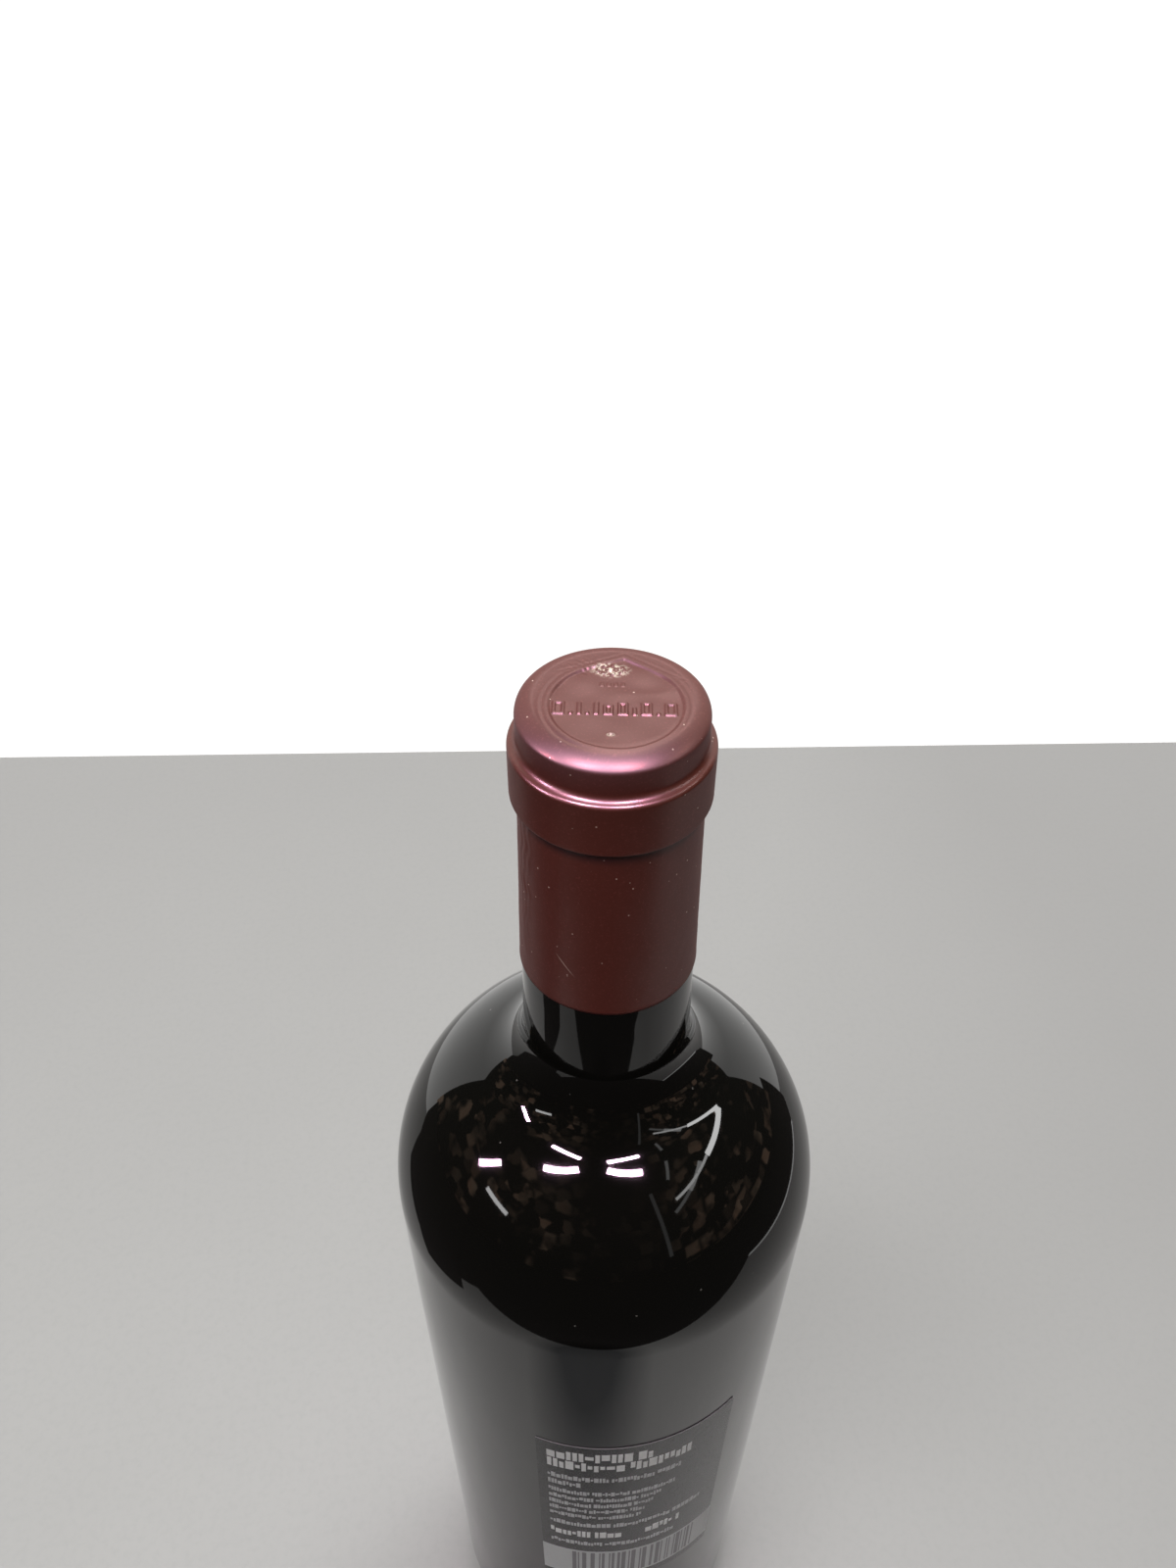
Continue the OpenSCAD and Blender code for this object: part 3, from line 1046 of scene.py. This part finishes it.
def dark_tent(cloth):
    """A dim tent round the front of the set, which isn't seen itself: it darkens the gloss and the light."""
    points, faces = [], []
    columns, rows = 72, 24
    low, span = -4, 94
    for i in range(rows + 1):
        for j in range(columns):
            ray = direction(360 * j / columns, low + span * i / rows)
            points.append(TENT_R * ray + Vector((0, 0, 0.1)))
    for i in range(rows):
        for j in range(columns):
            azimuth = 360 * (j + 0.5) / columns
            elevation = low + span * (i + 0.5) / rows
            if WALL_FROM < azimuth < WALL_TO and elevation < WALL_TOP:
                continue
            k = (j + 1) % columns
            faces.append((i * columns + j, i * columns + k, (i + 1) * columns + k, (i + 1) * columns + j))
    tent = mesh_object("dark_tent", points, faces)
    tent.data.materials.append(cloth)
    tent.visible_camera = False


def dark_apron(cloth):
    """The dark beyond the edges of the floor, for the gloss alone."""
    reach = 18
    inner = [turned_to_side(x * MM, y * MM, APRON_Z) for x, y in APRON_EDGE]
    outer = [Vector((reach * p.x, reach * p.y, APRON_Z)) for p in inner]
    count = len(inner)
    faces = [(i, i + 1, count + i + 1, count + i) for i in range(count - 1)]
    apron = mesh_object("dark_apron", inner + outer, faces, smooth=False)
    apron.data.materials.append(cloth)
    only_for_gloss(apron)
    apron.visible_diffuse = True


def floor_rim():
    """The lit edge of the table top at the right, for the gloss alone."""
    (far_x, far_y), (near_x, near_y) = APRON_EDGE[1:3]
    wide = 9
    corners = ((near_x - wide, near_y), (near_x + wide, near_y), (far_x + wide, far_y), (far_x - wide, far_y))
    points = [turned_to_side(x * MM, y * MM, RIM_Z) for x, y in corners]
    rim = mesh_object("floor_rim", points, [(0, 1, 2, 3)], smooth=False)
    rim.data.materials.append(glow_material("rim_glow", WHITE, 1.6))
    only_for_gloss(rim)


def floor_shade():
    """The shade that the bottle and whoever stands before it put on the floor, for the gloss alone."""
    material, tree, clear = simple_material("floor_shade", "ShaderNodeBsdfTransparent")
    gradient = tree.nodes.new("ShaderNodeTexGradient")
    gradient.gradient_type = "SPHERICAL"
    tree.links.new(object_coords(tree), gradient.inputs["Vector"])
    share = remap(tree, gradient.outputs["Fac"], 0.0, 0.5, 0, 1)
    tree.links.new(mix_colour(tree, share, WHITE, (0.32, 0.33, 0.35)), clear.inputs["Color"])
    corners = ((-1, -1, 0), (1, -1, 0), (1, 1, 0), (-1, 1, 0))
    patch = mesh_object("floor_shade", corners, [(0, 1, 2, 3)], smooth=False)
    patch.data.materials.append(material)
    patch.matrix_world = (
        Matrix.Translation(turned_to_side(*SHADE_C, SHADE_Z))
        @ Matrix.Rotation(SIDE_TURN, 4, "Z")
        @ Matrix.Diagonal((SHADE_R, SHADE_R, 1, 1))
    )
    only_for_gloss(patch)


def glow_material(name, colour, radiance):
    material, _, glow = simple_material(name, "ShaderNodeEmission")
    put(glow, {"Color": (*colour, 1), "Strength": radiance})
    return material


def glow_strip(name, start, end, wide, radiance, colour):
    """A lit strip between two directions from the shoulder, for the gloss alone."""
    distance, steps = 2.2, 8

    def towards(share):
        return direction(*(a + (b - a) * share for a, b in zip(start, end)))

    points = []
    for i in range(steps + 1):
        ray = towards(i / steps)
        ahead = towards(i / steps + 0.01) - ray
        across = ray.cross(ahead).normalized() * math.tan(math.radians(wide / 2))
        points += [AIM + distance * (ray - across), AIM + distance * (ray + across)]
    faces = [(2 * i, 2 * i + 1, 2 * i + 3, 2 * i + 2) for i in range(steps)]
    strip = mesh_object(name, points, faces)
    strip.data.materials.append(glow_material(name, colour, radiance))
    only_for_gloss(strip)


def soft_light(name, azimuth, elevation, wide, tall, radiance, distance=2.3):
    """A soft lit panel in that direction from the shoulder; wide and tall are angles in degrees."""
    data = bpy.data.lights.new(name, "AREA")
    data.shape = "RECTANGLE"
    data.size = 2 * distance * math.tan(math.radians(wide / 2))
    data.size_y = 2 * distance * math.tan(math.radians(tall / 2))
    data.energy = radiance * math.pi * data.size * data.size_y
    light = bpy.data.objects.new(name, data)
    bpy.context.scene.collection.objects.link(light)
    ray = direction(azimuth, elevation)
    place = AIM + distance * ray
    light.matrix_world = Matrix.Translation(place) @ ray.to_track_quat("Z", "Y").to_matrix().to_4x4()
    return light


def studio_lights():
    """Soft light from above and behind, and strips that show as small bars in the gloss."""
    soft_light("top_soft", 170, 78, 26, 20, 7.5)
    soft_light("back_soft", 165, 55, 40, 14, 4)
    soft_light("front_soft", -25, 63, 44, 16, 7.5).visible_glossy = False
    for i, (start, end, wide, radiance) in enumerate(LAMP_STRIPS):
        glow_strip(f"lamp_strip_{i + 1}", start, end, wide, radiance, LAMP_COLOUR)
    for i, (start, end, wide, radiance) in enumerate(EDGE_REFLECTION_STRIPS):
        glow_strip(f"edge_reflection_strip_{i + 1}", start, end, wide, radiance, WHITE)


def studio_world():
    world = bpy.data.worlds.new("studio_world")
    bpy.context.scene.world = world
    world.use_nodes = True
    background = world.node_tree.nodes["Background"]
    put(background, {"Color": (1.0, 0.995, 0.98, 1), "Strength": 1.12})
    bpy.context.scene.view_settings.view_transform = "Standard"


# The camera stands on the back label's side and looks steeply down, in metres and degrees
CAMERA_REACH = 0.1366
CAMERA_RISE = 0.1026
CAMERA_PITCH = 40.94
CAMERA_YAW = -1.44
CAMERA_ROLL = 0.25
CAMERA_LENS = 28.1


def studio_camera():
    data = bpy.data.cameras.new("camera")
    data.lens = CAMERA_LENS
    data.clip_start = 0.01
    camera = bpy.data.objects.new("camera", data)
    bpy.context.scene.collection.objects.link(camera)
    place = turned_to_side(0, -CAMERA_REACH, CAPSULE_TOP * MM + CAMERA_RISE)
    look = (
        Matrix.Rotation(SIDE_TURN - math.radians(CAMERA_YAW), 4, "Z")
        @ Matrix.Rotation(math.radians(90 - CAMERA_PITCH), 4, "X")
        @ Matrix.Rotation(math.radians(CAMERA_ROLL), 4, "Z")
    )
    camera.matrix_world = Matrix.Translation(place) @ look
    bpy.context.scene.camera = camera


# ---------------------------------------------------------------- the object

def finish_piece(piece, material, slot, *nodes):
    """Material, body and the CAD nodes that the piece stands for; slot is not used."""
    piece.data.materials.append(material)
    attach(piece, "root")
    if nodes:
        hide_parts(*nodes)


studio_camera()
studio_world()
studio_lights()
studio_floor()
dark_tent(tent_material())
dark_apron(cloth_material("apron_cloth")[0])
floor_shade()
floor_rim()

stock = sheet_material("label_stock", (0.026, 0.027, 0.028), (0.019, 0.020, 0.021), 0.25, (0.22, 0.22, 0.22))
bright_ink = sheet_material("bright_ink", (0.93, 0.95, 0.95), (0.86, 0.88, 0.88), 0.5)
dim_ink = sheet_material("dim_ink", (0.66, 0.68, 0.69), (0.58, 0.60, 0.61), 0.5)
bar_ink = sheet_material("bar_ink", (0.22, 0.22, 0.23), (0.18, 0.18, 0.19), 0.4)
panel_ink = sheet_material("panel_ink", (0.63, 0.66, 0.66), (0.57, 0.60, 0.60), 0.5)

finish_piece(glass_bottle(), glass_material(), "dark_glass", "bottle")
finish_piece(foil_capsule(), foil_material(), "burgundy_foil", "capsule")
finish_piece(label_sheet(), stock, "label_paper", "back_label")
headings, fine_print = print_marks()
finish_piece(headings, bright_ink, "label_ink")
finish_piece(fine_print, dim_ink, "label_ink")
code_panel, code_bars = barcode()
finish_piece(code_panel, panel_ink, "label_ink")
finish_piece(code_bars, bar_ink, "label_ink")
